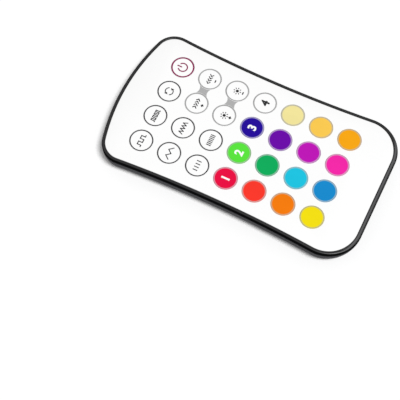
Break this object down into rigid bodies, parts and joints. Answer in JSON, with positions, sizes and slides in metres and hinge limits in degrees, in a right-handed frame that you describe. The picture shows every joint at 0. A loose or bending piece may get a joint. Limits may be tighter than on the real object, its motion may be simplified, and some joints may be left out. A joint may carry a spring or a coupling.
{
  "type": "remote control",
  "caption": "Slim handheld wireless remote control with flush round keys in a glossy face, a waisted black case and a sliding battery cover.",
  "frame": {"origin": "on the flat back, in the middle of the case's length and width", "axes": "+Y along the case towards the power key's bowed end, +Z out of the keys, +X to the right seen from the keys"},
  "size_m": [0.058, 0.1044, 0.009],
  "materials": {
    "case_black": "glossy moulded",
    "face_white": "glossy, printed",
    "adhesive": "tape",
    "spacer_grey": "foam sheet",
    "film": "satin film",
    "locator": "satin sheet",
    "dome_steel": "stamped",
    "board_green": "solder mask",
    "chip_black": "moulded",
    "can_steel": "drawn can",
    "capacitor_tan": "fired ceramic",
    "resistor_black": "glazed ceramic",
    "contact_metal": "nickel plated spring sheet",
    "cell_steel": "brushed",
    "screw_steel": "zinc plated",
    "magnet_metal": "nickel plated",
    "cap_white": "glossy, printed",
    "cap_red": "glossy",
    "cap_green": "glossy",
    "cap_blue": "glossy",
    "cap_scarlet": "glossy",
    "cap_emerald": "glossy",
    "cap_purple": "glossy",
    "cap_cream": "glossy",
    "cap_orange": "glossy",
    "cap_cyan": "glossy",
    "cap_magenta": "glossy",
    "cap_amber": "glossy",
    "cap_yellow": "glossy",
    "cap_azure": "glossy",
    "cap_pink": "glossy",
    "cap_gold": "glossy"
  },
  "bodies": {
    "case": {"back_shell": "case_black", "front_frame": "case_black", "face_panel": "face_white", "panel_adhesive": "adhesive", "spacer_sheet": "spacer_grey", "dome_film": "film", "dome_locator": "locator", "snap_domes": "dome_steel", "circuit_board": "board_green", "control_chip": "chip_black", "radio_chip": "chip_black", "crystal": "can_steel", "chip_capacitors": "capacitor_tan", "chip_resistors": "resistor_black", "positive_contact": "contact_metal", "negative_contact": "contact_metal", "coin_cell": "cell_steel", "case_screws": "screw_steel", "holding_magnets": "magnet_metal"},
    "battery_cover": {"battery_cover": "case_black"},
    "key_jump_3": {"key_jump_3": "cap_white"},
    "key_jump_7": {"key_jump_7": "cap_white"},
    "key_auto": {"key_auto": "cap_white"},
    "key_power": {"key_power": "cap_white"},
    "key_fade_3": {"key_fade_3": "cap_white"},
    "key_fade_7": {"key_fade_7": "cap_white"},
    "key_speed_up": {"key_speed_up": "cap_white"},
    "key_speed_down": {"key_speed_down": "cap_white"},
    "key_flash_3": {"key_flash_3": "cap_white"},
    "key_flash_7": {"key_flash_7": "cap_white"},
    "key_bright_up": {"key_bright_up": "cap_white"},
    "key_bright_down": {"key_bright_down": "cap_white"},
    "key_red": {"key_red": "cap_red"},
    "key_green": {"key_green": "cap_green"},
    "key_blue": {"key_blue": "cap_blue"},
    "key_white": {"key_white": "cap_white"},
    "key_scarlet": {"key_scarlet": "cap_scarlet"},
    "key_emerald": {"key_emerald": "cap_emerald"},
    "key_purple": {"key_purple": "cap_purple"},
    "key_cream": {"key_cream": "cap_cream"},
    "key_orange": {"key_orange": "cap_orange"},
    "key_cyan": {"key_cyan": "cap_cyan"},
    "key_magenta": {"key_magenta": "cap_magenta"},
    "key_amber": {"key_amber": "cap_amber"},
    "key_yellow": {"key_yellow": "cap_yellow"},
    "key_azure": {"key_azure": "cap_azure"},
    "key_pink": {"key_pink": "cap_pink"},
    "key_gold": {"key_gold": "cap_gold"}
  },
  "joints": [
    {"name": "battery_cover_slide", "type": "slide", "parent": "case", "child": "battery_cover", "axis": [0, -1, 0], "range_m": [0, 0.038]},
    {"name": "key_jump_3_press", "type": "slide", "parent": "case", "child": "key_jump_3", "axis": [0, 0, -1], "range_m": [0, 0.0003], "stiffness_N_per_m": 5000, "deforming": ["snap_domes"]},
    {"name": "key_jump_7_press", "type": "slide", "parent": "case", "child": "key_jump_7", "axis": [0, 0, -1], "range_m": [0, 0.0003], "stiffness_N_per_m": 5000, "deforming": ["snap_domes"]},
    {"name": "key_auto_press", "type": "slide", "parent": "case", "child": "key_auto", "axis": [0, 0, -1], "range_m": [0, 0.0003], "stiffness_N_per_m": 5000, "deforming": ["snap_domes"]},
    {"name": "key_power_press", "type": "slide", "parent": "case", "child": "key_power", "axis": [0, 0, -1], "range_m": [0, 0.0003], "stiffness_N_per_m": 5000, "deforming": ["snap_domes"]},
    {"name": "key_fade_3_press", "type": "slide", "parent": "case", "child": "key_fade_3", "axis": [0, 0, -1], "range_m": [0, 0.0003], "stiffness_N_per_m": 5000, "deforming": ["snap_domes"]},
    {"name": "key_fade_7_press", "type": "slide", "parent": "case", "child": "key_fade_7", "axis": [0, 0, -1], "range_m": [0, 0.0003], "stiffness_N_per_m": 5000, "deforming": ["snap_domes"]},
    {"name": "key_speed_up_press", "type": "slide", "parent": "case", "child": "key_speed_up", "axis": [0, 0, -1], "range_m": [0, 0.0003], "stiffness_N_per_m": 5000, "deforming": ["snap_domes"]},
    {"name": "key_speed_down_press", "type": "slide", "parent": "case", "child": "key_speed_down", "axis": [0, 0, -1], "range_m": [0, 0.0003], "stiffness_N_per_m": 5000, "deforming": ["snap_domes"]},
    {"name": "key_flash_3_press", "type": "slide", "parent": "case", "child": "key_flash_3", "axis": [0, 0, -1], "range_m": [0, 0.0003], "stiffness_N_per_m": 5000, "deforming": ["snap_domes"]},
    {"name": "key_flash_7_press", "type": "slide", "parent": "case", "child": "key_flash_7", "axis": [0, 0, -1], "range_m": [0, 0.0003], "stiffness_N_per_m": 5000, "deforming": ["snap_domes"]},
    {"name": "key_bright_up_press", "type": "slide", "parent": "case", "child": "key_bright_up", "axis": [0, 0, -1], "range_m": [0, 0.0003], "stiffness_N_per_m": 5000, "deforming": ["snap_domes"]},
    {"name": "key_bright_down_press", "type": "slide", "parent": "case", "child": "key_bright_down", "axis": [0, 0, -1], "range_m": [0, 0.0003], "stiffness_N_per_m": 5000, "deforming": ["snap_domes"]},
    {"name": "key_red_press", "type": "slide", "parent": "case", "child": "key_red", "axis": [0, 0, -1], "range_m": [0, 0.0003], "stiffness_N_per_m": 5000, "deforming": ["snap_domes"]},
    {"name": "key_green_press", "type": "slide", "parent": "case", "child": "key_green", "axis": [0, 0, -1], "range_m": [0, 0.0003], "stiffness_N_per_m": 5000, "deforming": ["snap_domes"]},
    {"name": "key_blue_press", "type": "slide", "parent": "case", "child": "key_blue", "axis": [0, 0, -1], "range_m": [0, 0.0003], "stiffness_N_per_m": 5000, "deforming": ["snap_domes"]},
    {"name": "key_white_press", "type": "slide", "parent": "case", "child": "key_white", "axis": [0, 0, -1], "range_m": [0, 0.0003], "stiffness_N_per_m": 5000, "deforming": ["snap_domes"]},
    {"name": "key_scarlet_press", "type": "slide", "parent": "case", "child": "key_scarlet", "axis": [0, 0, -1], "range_m": [0, 0.0003], "stiffness_N_per_m": 5000, "deforming": ["snap_domes"]},
    {"name": "key_emerald_press", "type": "slide", "parent": "case", "child": "key_emerald", "axis": [0, 0, -1], "range_m": [0, 0.0003], "stiffness_N_per_m": 5000, "deforming": ["snap_domes"]},
    {"name": "key_purple_press", "type": "slide", "parent": "case", "child": "key_purple", "axis": [0, 0, -1], "range_m": [0, 0.0003], "stiffness_N_per_m": 5000, "deforming": ["snap_domes"]},
    {"name": "key_cream_press", "type": "slide", "parent": "case", "child": "key_cream", "axis": [0, 0, -1], "range_m": [0, 0.0003], "stiffness_N_per_m": 5000, "deforming": ["snap_domes"]},
    {"name": "key_orange_press", "type": "slide", "parent": "case", "child": "key_orange", "axis": [0, 0, -1], "range_m": [0, 0.0003], "stiffness_N_per_m": 5000, "deforming": ["snap_domes"]},
    {"name": "key_cyan_press", "type": "slide", "parent": "case", "child": "key_cyan", "axis": [0, 0, -1], "range_m": [0, 0.0003], "stiffness_N_per_m": 5000, "deforming": ["snap_domes"]},
    {"name": "key_magenta_press", "type": "slide", "parent": "case", "child": "key_magenta", "axis": [0, 0, -1], "range_m": [0, 0.0003], "stiffness_N_per_m": 5000, "deforming": ["snap_domes"]},
    {"name": "key_amber_press", "type": "slide", "parent": "case", "child": "key_amber", "axis": [0, 0, -1], "range_m": [0, 0.0003], "stiffness_N_per_m": 5000, "deforming": ["snap_domes"]},
    {"name": "key_yellow_press", "type": "slide", "parent": "case", "child": "key_yellow", "axis": [0, 0, -1], "range_m": [0, 0.0003], "stiffness_N_per_m": 5000, "deforming": ["snap_domes"]},
    {"name": "key_azure_press", "type": "slide", "parent": "case", "child": "key_azure", "axis": [0, 0, -1], "range_m": [0, 0.0003], "stiffness_N_per_m": 5000, "deforming": ["snap_domes"]},
    {"name": "key_pink_press", "type": "slide", "parent": "case", "child": "key_pink", "axis": [0, 0, -1], "range_m": [0, 0.0003], "stiffness_N_per_m": 5000, "deforming": ["snap_domes"]},
    {"name": "key_gold_press", "type": "slide", "parent": "case", "child": "key_gold", "axis": [0, 0, -1], "range_m": [0, 0.0003], "stiffness_N_per_m": 5000, "deforming": ["snap_domes"]}
  ]
}
